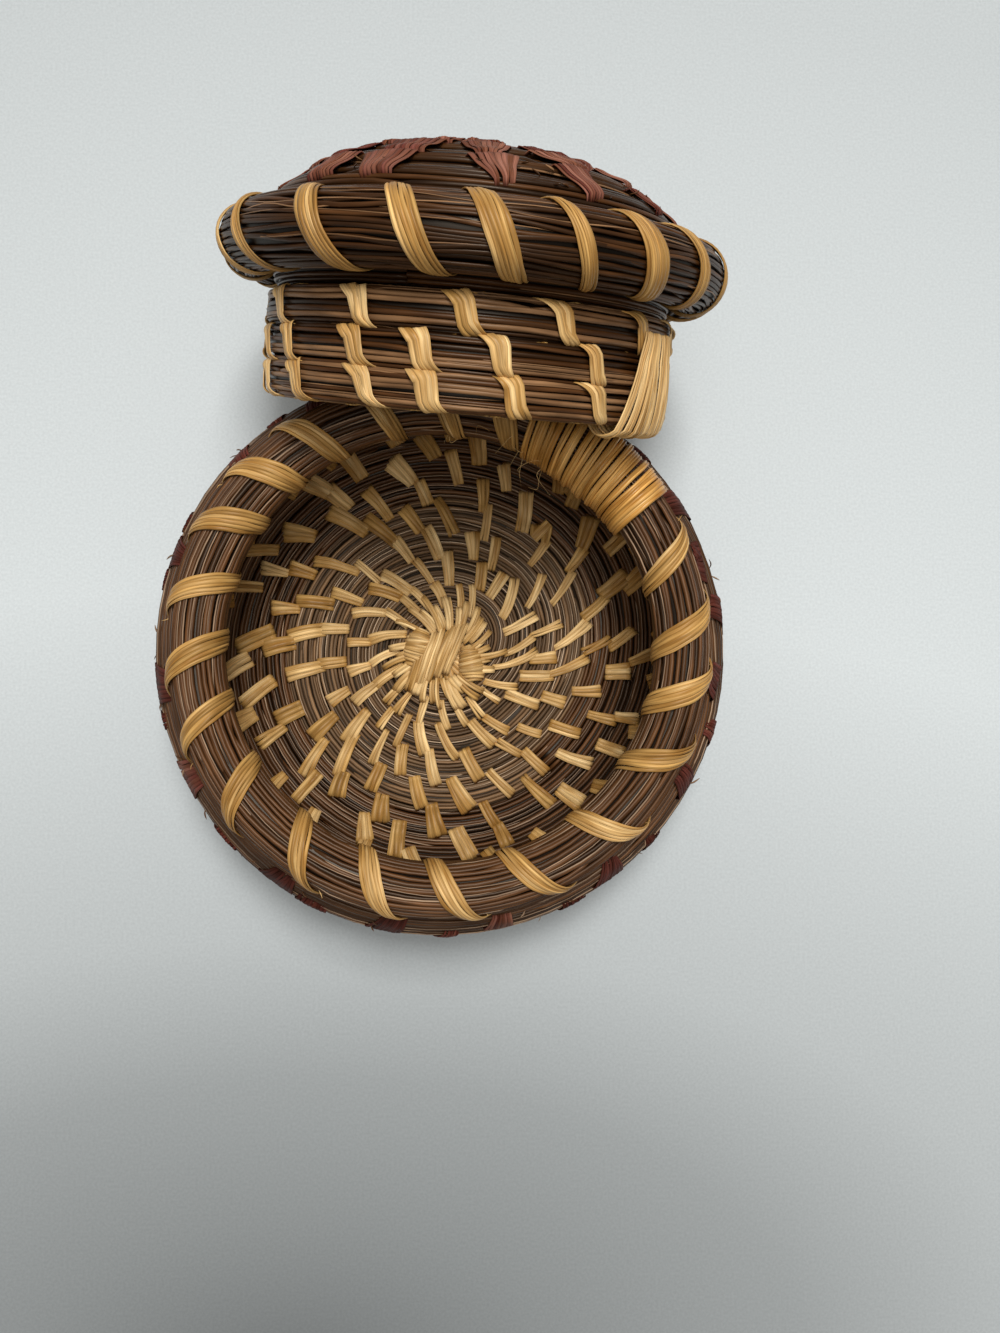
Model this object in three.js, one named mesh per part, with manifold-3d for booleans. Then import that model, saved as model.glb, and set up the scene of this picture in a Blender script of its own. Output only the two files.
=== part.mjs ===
// Round coiled pine needle basket, with its domed lid taken off and leaning on the back of it.
// Millimetres, +Z up. The origin is the middle of the base, on the table, and the lid leans on the +Y side.
import * as THREE from "three";
import { mergeVertices } from "three/addons/utils/BufferGeometryUtils.js";
import Module from "manifold-3d";

const wasm = await Module();
wasm.setup();

// Gap that touching pieces keep
const CLEARANCE = 0.3;

// Bundle of needles that is wound into base, wall, dome and plug ring
const BUNDLE_R = 2.9; // corner radius of its six-sided section
const BASE_PITCH = 6.2; // least distance from one round to the next
const DOME_PITCH = 6.15;
const PLUG_PITCH = 6.1;
const END_THIN = 0.25; // size of a thinned end, as a share of the bundle's own
const BASE_FLAT = 0.5; // depth of the flat worn under the base

// Basket, measured on the middle line of its bundle
const KNOT_R = 6.4; // start knot in the middle of the base
const KNOT_H = 6.6;
const KNOT_EDGE = 1.5; // rounding of a start knot's lower edge
const FLOOR_R = 38; // where the base starts to turn up
const BELLY_R = 57.9; // widest point
const BELLY_Z = 23.5;
const SHOULDER_R = 10.3; // round of the shoulder above the belly
const SHOULDER_TURN = 43; // degrees that the shoulder turns in

// Thick rim coils
const RIM_R = 5.6;
const LID_RIM_R = 5.8;
const RIM_SPLIT = 0.8; // gap between the two ends of a rim coil

// Raffia lacing, a ribbon that winds round a coil
const LACE_W = 3.2;
const LACE_T = 0.65;
const LACE_GAP = 0.6; // from the coil, whose steps are straight
const LACE_SLANT = 0.45; // how much faster it moves along the coil where it shows
const RIM_LACE_TURNS = 19;
const LID_LACE_TURNS = 19;
const PLUG_LACE_TURNS = 16;
const LID_LACE_GAP = [274, 284]; // degrees round the lid that its lacing leaves out

// Close raffia winding over the end of a coil, in degrees round the basket or the lid
const RIM_WHIP = [33, 67];
const RIM_WHIP_W = 1.7;
const RIM_WHIP_TURNS = 11;
const PLUG_WHIP = [130, 161];
const PLUG_WHIP_W = 2.2;
const PLUG_WHIP_TURNS = 6;
const WHIP_MARGIN = 3; // degrees from the winding to the lacing

// Lid, in its own frame: dome up, with the middle of its rim coil at height 0
const LID_OVERHANG = 5.5; // from the plug ring's middle line out to the rim coil's
const DOME_RISE = 16.8; // top of the dome's middle line
const DOME_SEAT = 45; // degrees up from the rim coil to the dome's last round
const LID_KNOT_R = 5.6;
const LID_KNOT_H = 6.2;
const PLUG_ROUNDS = 3;
const PLUG_FIT = 1.1; // play all round between the plug ring and the mouth

// Leaning place of the lid
const LID_YAW = -4.2;
const LID_SHIFT = 6.6; // sideways, along X
const LEAN_GAP = 0.35; // from the plug ring to the wall
const MOST_LEAN = 45;

// Where each winding's climb from round to round is over, in degrees
const BASKET_SEAM = 52;
const LID_SEAM = 300;
const PLUG_SEAM = 255;

// Facets
const LOOP_STEPS = 18;
const CLIMB_STEPS = 5; // of a loop's steps
const BUNDLE_SIDES = 6;
const RIM_SIDES = 8;
const TURN_STEPS = 8; // of a lacing's turn
const KNOT_STEPS = 18;
const KNOT_CURVE_STEPS = 4;
const PROFILE_STEPS = 160;
const SEARCH_STEPS = 24;
const FAR = 400; // longer than the whole object

const needleBrown = new THREE.MeshStandardMaterial({ color: 0x6a4d3a, roughness: 0.6 });
const needleGrey = new THREE.MeshStandardMaterial({ color: 0x5d4e42, roughness: 0.7 });
const needleDark = new THREE.MeshStandardMaterial({ color: 0x3f2519, roughness: 0.4 });
const raffiaTan = new THREE.MeshStandardMaterial({ color: 0xc49a58, roughness: 0.55 });
const raffiaGold = new THREE.MeshStandardMaterial({ color: 0xb9822f, roughness: 0.5 });

const rad = THREE.MathUtils.degToRad;
const step = (2 * Math.PI) / LOOP_STEPS;
const bundleHalf = BUNDLE_R * Math.cos(Math.PI / BUNDLE_SIDES); // from its middle to the next round's side
const turnFlat = Math.cos(Math.PI / TURN_STEPS);
const laceDepth = LACE_GAP + LACE_T; // from a coil to the outside of its lacing

const root = new THREE.Group();
const lid = new THREE.Group();
root.add(lid);

function addPiece(group, name, geometry, material) {
  const mesh = new THREE.Mesh(geometry, material);
  mesh.name = name;
  group.add(mesh);
}

// Closed tube through rings of points, with flat ends.
function tube(rings) {
  const sides = rings[0].length;
  const last = rings[rings.length - 1];
  const corners = [];
  for (let i = 0; i + 1 < rings.length; i++) {
    for (let k = 0; k < sides; k++) {
      const next = (k + 1) % sides;
      corners.push(rings[i][k], rings[i][next], rings[i + 1][next]);
      corners.push(rings[i][k], rings[i + 1][next], rings[i + 1][k]);
    }
  }
  for (let k = 1; k + 1 < sides; k++) {
    corners.push(rings[0][0], rings[0][k + 1], rings[0][k]);
    corners.push(last[0], last[k], last[k + 1]);
  }
  let volume = 0;
  for (let i = 0; i < corners.length; i += 3) {
    volume += corners[i].dot(corners[i + 1].clone().cross(corners[i + 2]));
  }
  if (volume < 0) {
    corners.reverse();
  }
  return new THREE.BufferGeometry().setFromPoints(corners);
}

// Point at a distance from the axis, a height and an angle.
function around(r, z, angle) {
  return new THREE.Vector3(r * Math.cos(angle), r * Math.sin(angle), z);
}

// Share of its radius at which a coil of straight steps lies at an angle.
function facet(angle, seam) {
  const past = THREE.MathUtils.euclideanModulo(angle - rad(seam), step) - step / 2;
  return Math.cos(step / 2) / Math.cos(past);
}

function solidOf(geometry) {
  const bare = new THREE.BufferGeometry();
  bare.setAttribute("position", geometry.getAttribute("position"));
  const merged = mergeVertices(bare, 1e-4);
  const mesh = new wasm.Mesh({
    numProp: 3,
    vertProperties: merged.attributes.position.array,
    triVerts: new Uint32Array(merged.index.array),
  });
  return new wasm.Manifold(mesh);
}

// What is left of a piece above the table.
function cutFlat(geometry) {
  const block = new THREE.BoxGeometry(FAR, FAR, FAR).toNonIndexed().translate(0, 0, -FAR / 2);
  const mesh = solidOf(geometry).subtract(solidOf(block)).getMesh();
  const made = new THREE.BufferGeometry();
  made.setAttribute("position", new THREE.BufferAttribute(mesh.vertProperties, 3));
  made.setIndex(new THREE.BufferAttribute(mesh.triVerts, 1));
  return made;
}

// Rounds that fit along a profile, and the distance from one to the next.
function spread(path, leastPitch) {
  const gaps = Math.max(1, Math.floor(path.getLength() / leastPitch));
  return { path, rounds: gaps + 1, pitch: path.getLength() / gaps, seam: 0 };
}

// Six-sided section of the bundle at a distance along a winding's profile.
function section(winding, distance, size, angle) {
  const share = THREE.MathUtils.clamp(distance / winding.path.getLength(), 0, 1);
  const place = winding.path.getPointAt(share);
  const ahead = winding.path.getTangentAt(share);
  const beyond = distance - share * winding.path.getLength();
  const ring = [];
  for (let k = 0; k < BUNDLE_SIDES; k++) {
    const turn = ((k + 0.5) * 2 * Math.PI) / BUNDLE_SIDES;
    const along = BUNDLE_R * size * Math.cos(turn) + beyond;
    const across = BUNDLE_R * size * Math.sin(turn);
    const r = place.x + along * ahead.x - across * ahead.y;
    ring.push(around(r, place.y + along * ahead.y + across * ahead.x, angle));
  }
  return ring;
}

// Bundle from one round of a winding to another: level, with one smooth climb at the end of each round.
// Its first and last ends thin out in the wedge beside a climb, or are cut square.
function windBundle(winding, first, last, thinStart, thinEnd) {
  const { pitch, seam } = winding;
  const climbOf = (i) => THREE.MathUtils.smoothstep(i, 0, CLIMB_STEPS);
  const thin = (climb) => 1 - (climb * pitch) / (2 * bundleHalf);
  const angleOf = (round, i) => rad(seam) + (round + i / LOOP_STEPS) * 2 * Math.PI;
  const level = LOOP_STEPS - CLIMB_STEPS;
  const rings = [];
  if (thinStart) {
    for (let i = 1; i < CLIMB_STEPS; i++) {
      const size = thin(1 - climbOf(i));
      if (size > END_THIN) {
        const distance = first * pitch - bundleHalf * (1 - size);
        rings.push(section(winding, distance, size, angleOf(first, i - CLIMB_STEPS)));
      }
    }
  } else {
    const cut = CLEARANCE / (2 * Math.PI * winding.path.getPointAt(first / (winding.rounds - 1)).x);
    for (let i = 0; i < CLIMB_STEPS; i++) {
      const distance = (first - 1 + climbOf(i)) * pitch;
      const shift = i === 0 ? cut * LOOP_STEPS : 0;
      rings.push(section(winding, distance, 1, angleOf(first, i + shift - CLIMB_STEPS)));
    }
  }
  for (let round = first; round <= last; round++) {
    for (let i = 0; i <= level; i++) {
      rings.push(section(winding, round * pitch, 1, angleOf(round, i)));
    }
    for (let i = 1; i < CLIMB_STEPS && round < last; i++) {
      rings.push(section(winding, (round + climbOf(i)) * pitch, 1, angleOf(round, level + i)));
    }
  }
  for (let i = 1; i < CLIMB_STEPS && thinEnd; i++) {
    const size = thin(climbOf(i));
    if (size > END_THIN) {
      const distance = last * pitch + bundleHalf * (1 - size);
      rings.push(section(winding, distance, size, angleOf(last, level + i)));
    }
  }
  return rings;
}

// Thick single coil, whose two ends meet at its seam.
function windRim(ringR, height, coilR, seam) {
  const rings = [];
  const cut = RIM_SPLIT / 2 / ringR;
  for (let i = 0; i <= LOOP_STEPS; i++) {
    const angle = rad(seam) + i * step + (i === 0 ? cut : 0) - (i === LOOP_STEPS ? cut : 0);
    const ring = [];
    for (let k = 0; k < RIM_SIDES; k++) {
      const turn = (k * 2 * Math.PI) / RIM_SIDES;
      ring.push(around(ringR + coilR * Math.cos(turn), height + coilR * Math.sin(turn), angle));
    }
    rings.push(ring);
  }
  return rings;
}

// Places that a ribbon passes round a coil, from below, up the inner side and over the top.
function roundRoute(middleR, middleZ, coilR) {
  const reach = (coilR + LACE_GAP) / turnFlat;
  const route = [];
  for (let k = 0; k < TURN_STEPS; k++) {
    const turn = -Math.PI / 2 - ((k + 0.5) * 2 * Math.PI) / TURN_STEPS;
    const out = new THREE.Vector2(Math.cos(turn), Math.sin(turn));
    route.push({ r: middleR + reach * out.x, z: middleZ + reach * out.y, out });
  }
  return route;
}

// The same round a stack of rounds, as a box with a place in the middle of each side.
function stackRoute(middleR, middleZ, halfR, halfZ) {
  const sides = [[0, -1], [-1, -1], [-1, 0], [-1, 1], [0, 1], [1, 1], [1, 0], [1, -1]];
  return sides.map(([x, y]) => ({
    r: middleR + x * (halfR + LACE_GAP),
    z: middleZ + y * (halfZ + LACE_GAP),
    out: new THREE.Vector2(x, y),
  }));
}

// Ribbon with a flat inner face and a ridge outside, wound along a coil between two angles in degrees.
function windRibbon(route, span, turns, width, seam) {
  const advance = rad(span[1] - span[0]) / turns;
  const middle = (route[0].r + route[TURN_STEPS / 2].r) / 2;
  const half = width / 2 / middle;
  const rings = [];
  for (let i = 0; i <= turns * TURN_STEPS; i++) {
    const { r, z, out } = route[i % TURN_STEPS];
    const share = i / TURN_STEPS;
    const slant = (LACE_SLANT / (2 * Math.PI)) * Math.sin(2 * Math.PI * (share - 0.5));
    const angle = rad(span[0]) + advance * (share + slant);
    const edge = (at, lift) => around((r + lift * out.x) * facet(at, seam), z + lift * out.y, at);
    rings.push([edge(angle - half, 0), edge(angle + half, 0), edge(angle, LACE_T)]);
  }
  return rings;
}

// Least distance between points of a winding that are at least half a turn apart.
function selfGap(rings, turnSteps) {
  let least = Infinity;
  for (let i = 0; i < rings.length; i++) {
    for (let j = i + Math.ceil(turnSteps / 2); j < rings.length; j++) {
      for (const a of rings[i]) {
        for (const b of rings[j]) {
          least = Math.min(least, a.distanceTo(b));
        }
      }
    }
  }
  return least;
}

// Round lump of raffia with flat ends, from a height up.
function knot(radius, bottom, height) {
  const outline = new THREE.Path();
  outline.moveTo(0, bottom);
  outline.lineTo(radius - KNOT_EDGE, bottom);
  outline.quadraticCurveTo(radius, bottom, radius, bottom + KNOT_EDGE);
  outline.quadraticCurveTo(radius, bottom + height, 0, bottom + height);
  const points = outline.getPoints(KNOT_CURVE_STEPS);
  points[0].x = 0;
  points[points.length - 1].x = 0;
  return new THREE.LatheGeometry(points, KNOT_STEPS).rotateX(Math.PI / 2);
}

// Basket: base, wall and rim
const baseLine = BUNDLE_R - BASE_FLAT;
const wallPath = new THREE.Path();
wallPath.moveTo(KNOT_R + CLEARANCE + bundleHalf, baseLine);
wallPath.lineTo(FLOOR_R, baseLine);
wallPath.absellipse(FLOOR_R, BELLY_Z, BELLY_R - FLOOR_R, BELLY_Z - baseLine, -Math.PI / 2, 0, false, 0);
wallPath.absarc(BELLY_R - SHOULDER_R, BELLY_Z, SHOULDER_R, 0, rad(SHOULDER_TURN), false);
const wall = spread(wallPath, BASE_PITCH);
wall.seam = BASKET_SEAM;
const lastBaseRound = Math.floor((FLOOR_R - wallPath.getPoint(0).x) / wall.pitch);

const shoulder = wallPath.getPoint(1);
const shoulderAhead = wallPath.getTangent(1);
const rimSeat = bundleHalf + CLEARANCE + laceDepth + RIM_R;
const rimRadius = shoulder.x + rimSeat * shoulderAhead.x;
const rimHeight = shoulder.y + rimSeat * shoulderAhead.y;
const basketTop = rimHeight + RIM_R + laceDepth;
const mouthRadius = rimRadius - RIM_R - laceDepth;

const baseRings = windBundle(wall, 0, lastBaseRound, true, false);
const wallRings = windBundle(wall, lastBaseRound + 1, wall.rounds - 1, false, true);
const rimRings = windRim(rimRadius, rimHeight, RIM_R, BASKET_SEAM);
const rimRoute = roundRoute(rimRadius, rimHeight, RIM_R);
const rimLaceSpan = [RIM_WHIP[1] + WHIP_MARGIN, RIM_WHIP[0] - WHIP_MARGIN + 360];
const rimLaceRings = windRibbon(rimRoute, rimLaceSpan, RIM_LACE_TURNS, LACE_W, BASKET_SEAM);
const rimWhipRings = windRibbon(rimRoute, RIM_WHIP, RIM_WHIP_TURNS, RIM_WHIP_W, BASKET_SEAM);

addPiece(root, "start_knot", knot(KNOT_R, 0, KNOT_H), raffiaTan);
addPiece(root, "base_coil", cutFlat(tube(baseRings)), needleGrey);
addPiece(root, "wall_coil", cutFlat(tube(wallRings)), needleBrown);
addPiece(root, "rim_coil", tube(rimRings), needleBrown);
addPiece(root, "rim_lacing", tube(rimLaceRings), raffiaTan);
addPiece(root, "rim_end_winding", tube(rimWhipRings), raffiaGold);

// Lid: dome, rim and plug ring
const plugRadius = mouthRadius - PLUG_FIT - laceDepth - BUNDLE_R;
const lidRadius = plugRadius + LID_OVERHANG;
const domeSeat = bundleHalf + CLEARANCE + laceDepth + LID_RIM_R;
const seatIn = domeSeat * Math.cos(rad(DOME_SEAT));
const seatUp = domeSeat * Math.sin(rad(DOME_SEAT));
const domeAcross = (lidRadius - seatIn) / Math.sqrt(1 - (seatUp / DOME_RISE) ** 2);
const domeStart = Math.acos((LID_KNOT_R + CLEARANCE + bundleHalf) / domeAcross);
const domeEnd = Math.asin(seatUp / DOME_RISE);
const domePath = new THREE.Path();
domePath.absellipse(0, 0, domeAcross, DOME_RISE, domeStart, domeEnd, true, 0);
const dome = spread(domePath, DOME_PITCH);
dome.seam = LID_SEAM;

const plugTop = -(LID_RIM_R + laceDepth + CLEARANCE + laceDepth);
const plugHalf = ((PLUG_ROUNDS - 1) * PLUG_PITCH) / 2 + bundleHalf;
const plugPath = new THREE.Path();
plugPath.moveTo(plugRadius, plugTop - bundleHalf);
plugPath.lineTo(plugRadius, plugTop - 2 * plugHalf + bundleHalf);
const plug = { path: plugPath, rounds: PLUG_ROUNDS, pitch: PLUG_PITCH, seam: PLUG_SEAM };

const domeRings = windBundle(dome, 0, dome.rounds - 1, true, true);
const lidRimRings = windRim(lidRadius, 0, LID_RIM_R, LID_SEAM);
const plugRings = windBundle(plug, 0, PLUG_ROUNDS - 1, true, true);
const lidRoute = roundRoute(lidRadius, 0, LID_RIM_R);
const plugRoute = stackRoute(plugRadius, plugTop - plugHalf, BUNDLE_R, plugHalf);
const lidLaceSpan = [LID_LACE_GAP[1], LID_LACE_GAP[0] + 360];
const plugLaceSpan = [PLUG_WHIP[1] + WHIP_MARGIN, PLUG_WHIP[0] - WHIP_MARGIN + 360];
const lidLaceRings = windRibbon(lidRoute, lidLaceSpan, LID_LACE_TURNS, LACE_W, LID_SEAM);
const plugLaceRings = windRibbon(plugRoute, plugLaceSpan, PLUG_LACE_TURNS, LACE_W, PLUG_SEAM);
const plugWhipRings = windRibbon(plugRoute, PLUG_WHIP, PLUG_WHIP_TURNS, PLUG_WHIP_W, PLUG_SEAM);
const lidKnotBottom = domePath.getPoint(0).y - LID_KNOT_H / 2;

addPiece(lid, "lid_start_knot", knot(LID_KNOT_R, lidKnotBottom, LID_KNOT_H), raffiaTan);
addPiece(lid, "dome_coil", tube(domeRings), needleDark);
addPiece(lid, "lid_rim_coil", tube(lidRimRings), needleDark);
addPiece(lid, "lid_rim_lacing", tube(lidLaceRings), raffiaTan);
addPiece(lid, "plug_coil", tube(plugRings), needleDark);
addPiece(lid, "plug_lacing", tube(plugLaceRings), raffiaTan);
addPiece(lid, "plug_end_winding", tube(plugWhipRings), raffiaTan);

// Corners, edge middles and middles of every face of some of the lid's pieces, in the lid's own frame.
function spotsOf(names) {
  const found = [];
  for (const piece of lid.children.filter((child) => names.includes(child.name))) {
    const spots = piece.geometry.getAttribute("position");
    for (let i = 0; i + 2 < spots.count; i += 3) {
      const [a, b, c] = [0, 1, 2].map((k) => new THREE.Vector3().fromBufferAttribute(spots, i + k));
      found.push(a, a.clone().lerp(b, 0.5), b.clone().lerp(c, 0.5), c.clone().lerp(a, 0.5));
      found.push(a.clone().add(b).add(c).divideScalar(3));
    }
  }
  return found;
}

// Turn of the lid that stands it on edge, dome to the back, leaning in by an angle in degrees.
function stood(lean) {
  const turn = new THREE.Matrix4().makeRotationZ(Math.PI);
  turn.premultiply(new THREE.Matrix4().makeRotationX(-rad(90 - lean)));
  return turn.premultiply(new THREE.Matrix4().makeRotationZ(rad(LID_YAW)));
}

function lowest(spots, turn) {
  return Math.min(...spots.map((spot) => spot.clone().applyMatrix4(turn).z));
}

// Value between two limits at which a test turns from true to false.
function turningPoint(low, high, test) {
  let [yes, no] = [low, high];
  for (let i = 0; i < SEARCH_STEPS; i++) {
    const tried = (yes + no) / 2;
    [yes, no] = test(tried) ? [tried, no] : [yes, tried];
  }
  return no;
}

// Distance from a point to the basket's wall and rim, whose coils have straight steps.
const wallLine = wallPath.getSpacedPoints(PROFILE_STEPS);
function basketGap(point) {
  const angle = Math.atan2(point.y, point.x);
  const flat = new THREE.Vector2(Math.hypot(point.x, point.y) / facet(angle, BASKET_SEAM), point.z);
  const past = THREE.MathUtils.euclideanModulo(angle - rad(BASKET_SEAM), 2 * Math.PI) / step;
  const climb = THREE.MathUtils.smoothstep(past, LOOP_STEPS - CLIMB_STEPS, LOOP_STEPS);
  let least = flat.distanceTo(new THREE.Vector2(rimRadius, rimHeight)) - (RIM_R + laceDepth) / turnFlat;
  for (let round = 0; round < wall.rounds; round++) {
    const share = Math.min(1, (round + climb) / (wall.rounds - 1));
    least = Math.min(least, flat.distanceTo(wallLine[Math.round(share * PROFILE_STEPS)]) - BUNDLE_R);
  }
  return least;
}

// The lid stands on its rim and on the end of its plug ring, pushed up to the basket's wall.
const rimSpots = spotsOf(["lid_rim_coil", "lid_rim_lacing"]);
const plugSpots = spotsOf(["plug_coil", "plug_lacing", "plug_end_winding"]);
const standsOnRim = (tried) => lowest(rimSpots, stood(tried)) < lowest(plugSpots, stood(tried));
const lean = turningPoint(0, MOST_LEAN, standsOnRim);
const turned = stood(lean);
const lidHeight = -Math.min(lowest(rimSpots, turned), lowest(plugSpots, turned));
const frontSpots = plugSpots
  .map((spot) => spot.clone().applyMatrix4(turned))
  .filter((spot) => spot.z + lidHeight < basketTop);

function touches(distance) {
  const place = new THREE.Vector3(LID_SHIFT, distance, lidHeight);
  return frontSpots.some((spot) => basketGap(spot.clone().add(place)) < LEAN_GAP);
}

const lidDistance = turningPoint(BELLY_R, FAR, touches);
lid.setRotationFromMatrix(turned);
lid.position.set(LID_SHIFT, lidDistance, lidHeight);

const windings = { baseRings, wallRings, rimRings, domeRings, lidRimRings, plugRings };
for (const [name, rings] of Object.entries(windings)) {
  console.log(name, "least gap to itself", selfGap(rings, LOOP_STEPS).toFixed(2), "mm");
}
const ribbons = { rimLaceRings, rimWhipRings, lidLaceRings, plugLaceRings, plugWhipRings };
for (const [name, rings] of Object.entries(ribbons)) {
  console.log(name, "least gap to itself", selfGap(rings, TURN_STEPS).toFixed(2), "mm");
}

export default root;
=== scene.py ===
"""Coiled pine needle basket, open, with its domed lid standing on edge behind it.

Every needle and every raffia stitch is its own strand of mesh, laid along the coils of the CAD frame.
Sizes inside the functions are in millimetres and degrees where their names say so; Blender gets metres.
"""
import math

import bpy
import numpy as np
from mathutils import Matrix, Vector


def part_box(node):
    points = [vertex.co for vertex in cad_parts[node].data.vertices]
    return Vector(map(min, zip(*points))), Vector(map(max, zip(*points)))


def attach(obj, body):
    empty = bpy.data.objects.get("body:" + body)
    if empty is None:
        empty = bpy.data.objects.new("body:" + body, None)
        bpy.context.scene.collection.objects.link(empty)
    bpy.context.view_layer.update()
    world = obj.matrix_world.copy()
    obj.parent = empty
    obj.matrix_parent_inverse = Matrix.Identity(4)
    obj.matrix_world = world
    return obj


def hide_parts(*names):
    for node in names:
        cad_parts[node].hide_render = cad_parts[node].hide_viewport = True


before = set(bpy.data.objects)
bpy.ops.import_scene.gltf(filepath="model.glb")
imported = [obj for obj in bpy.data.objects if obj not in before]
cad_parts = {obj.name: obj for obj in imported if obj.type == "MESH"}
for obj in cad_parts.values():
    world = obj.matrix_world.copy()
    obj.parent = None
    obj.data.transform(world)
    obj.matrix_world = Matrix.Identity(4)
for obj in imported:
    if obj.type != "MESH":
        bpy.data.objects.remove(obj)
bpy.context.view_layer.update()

bl_info = {
    "name": "Pine needle basket",
    "version": (1, 0, 0),
    "blender": (4, 5, 0),
    "location": "3D View > Sidebar > Basket",
    "description": "Lays the needles and raffia of a coiled basket and its lid",
    "category": "Add Mesh",
}

MM = 0.001
TAU = 2 * math.pi

# Winding, as the CAD model has it, in mm
BUNDLE_HALF = 2.511  # half of a bundle, across its flats
BUNDLE_CORNER = 2.9
CLEARANCE = 0.3
LACE_DEPTH = 1.25
PRESSED = 1.16  # half size of a visible bundle towards its neighbours, as a share of half the pitch
BUNDLE_DEEP = 2.95  # and across that
CLIMB_SHARE = 5 / 18  # of a round
SEAT_SIZE = (1.7, 2.4)  # half sizes of the needles tucked under a thick round
KNOT_RADIUS = 6.4
FLOOR_RADIUS = 38
BELLY_RADIUS = 57.9
BELLY_HEIGHT = 23.5
BASE_LINE = 2.4
SHOULDER_RADIUS = 10.3
SHOULDER_TURN = 43
RIM_COIL = 5.6
BASE_PITCH = 6.2
BASE_ROUNDS = 5
BASKET_SEAM = 52
LID_OVERHANG = 5.5
LID_COIL = 5.8
LID_SEAM = 300
DOME_RISE = 16.8
DOME_PITCH = 6.15
DOME_SEAT = 45
LID_KNOT_RADIUS = 5.6
PLUG_ROUNDS = 3
PLUG_PITCH = 6.1
PLUG_SEAM = 255
PLUG_FIT = 1.1
PLUG_SQUARE = 0.45  # how square the plug ring's flattened bundles are, 1 being round

FINISH = "_finish"  # follows the slot in the name of each material

# Rounds from which the stitches are dyed red
INSIDE_RED = 9
OUTSIDE_RED = 4

# Red stitches in a round of the wall, and their width
RED_FANS = (15, 6.6)
RED_INSIDE = (22, 3.2)

# Loose ends
LOOSE_FIBRES = 12
WALL_ENDS = 70
DOME_ENDS = 60

# Middle of each stitch that shows on the rim, in degrees round the basket
RIM_STITCHES = [
    21, 4, -11, -28, -48, -68, -87, -104, -123, -144, -161, -177, 167.5, 151, 137, 123, 106.5, 91, 76.5]
RIM_SLANT = 11  # degrees round the basket from the mouth to the outside
RIM_WRAP = (238, -62)  # degrees round the rim's section, from under the mouth over to the outside
RIM_TAPER = ((-0.3, 0.0, 0.3, 0.55, 0.8, 1.0, 1.3), (0.7, 0.84, 1.0, 0.98, 0.7, 0.36, 0.3))
RIM_WINDING = (34.3, 67.8)  # from and to, in degrees round the basket
RIM_WINDING_TURNS = 21
RIM_WINDING_WRAP = 176  # degrees round the section, either way from the top

# Stitches that show on the lid's rim: degrees round the lid, and width
LID_STITCHES = ((35, 3.4), (59, 4.3), (78, 4.4), (95, 4.6), (112, 3.1), (127, 4.9))
LID_HIDDEN_STITCHES = tuple((145 + 18 * k, 4.2) for k in range(14))
LID_SLANT = 10
LID_WRAP = (-152, 152)  # from under the plug ring's side over to the dome
LID_TAPER = ((-150, -70, 0, 60, 120), (0.55, 0.9, 1.0, 0.9, 0.5))

# Stitches in a round of the dome and their width, from its top out
DOME_FANS = ((8, 3), (8, 4.5), (14, 6.5), (14, 7.5))

# Stitches that show on the plug ring's rounds, from the lid's rim out, in degrees round the lid
PLUG_STITCHES = ((34, 64, 90, 114, 140), (39, 63, 80, 99, 124), (24, 43, 66, 82, 103, 126))
PLUG_HIDDEN_STEP = 20  # from one hidden stitch to the next, in degrees
PLUG_STITCH_ROOM = 14  # least distance from a hidden stitch to one that shows
PLUG_WRAP = 98  # degrees round the section, either way from the outside
PLUG_WINDING = (131, 160)  # from and to, in degrees round the lid
PLUG_WINDING_TURNS = 15

# Start knot: short spokes round it, petals under it, two wound lumps and strands across them
KNOT_SPOKES = 40
SPOKE_STARTS = (4.5, 7.0)
SPOKE_ENDS = (9.5, 15.0)
SPOKE_HEIGHT = 5.75
SPOKE_BEND = 12
KNOT_PETALS = 12
KNOT_LUMPS = (((-6.6, 1.2, 5.0), (0.25, 1, 0), 8.4, 2.9), ((6.2, -2.6, 5.0), (-0.15, 1, 0), 7.8, 2.7))
KNOT_STRANDS = 5
KNOT_STRAND_STEP = 2.05
LID_KNOT_STRANDS = 18

# Strands
TINY = 1e-12  # keeps a division away from nought
SLACK = 1e-9  # for rounding
UP = np.array([0, 0, 1.0])
FLOOR_GAP = 0.02  # least height of a strand over the floor
GRAIN_STEP = 3.7  # from one strand's grain to the next one's
AHEAD_STEP = 0.4  # over which a profile's direction is taken
THIN_LOSS = 0.9  # share of its size that a bundle loses at a thinned end
THINNEST = 0.2

# Needles: lengths in mm, sizes as shares of the usual half width
NEEDLE_SPACING = 1.98
NEEDLE_LENGTHS = (110, 220)
NEEDLE_OVERLAPS = (4, 14)
NEEDLE_SIZES = (0.8, 1.06)
NEEDLE_TINTS = (0.3, 0.74)
NEEDLE_TAPER = 7.0
NEEDLE_DEPTH = 0.85  # of its width
NEEDLE_RISE = 0.09
CORE_INSET = 1.5
# Dark needles, sunk a little between the others: partly darker needles, partly painted shade in the gaps
DARK_SHARE = 0.16
DARK_NEEDLE_AND_GAP_SHADE_TINTS = (0.14, 0.3)
DARK_SUNK = (0.1, 0.3)
# Thin pale edges in the grooves: partly pale fibres, partly painted highlight along the needles' edges
EDGE_LENGTHS = (35, 120)
EDGE_GAPS = (0, 20)
EDGE_SIZES = (0.2, 0.36)
PALE_EDGE_FIBRE_AND_HIGHLIGHT_TINTS = (0.82, 1.0)
EDGE_LIFT = 0.62

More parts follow.
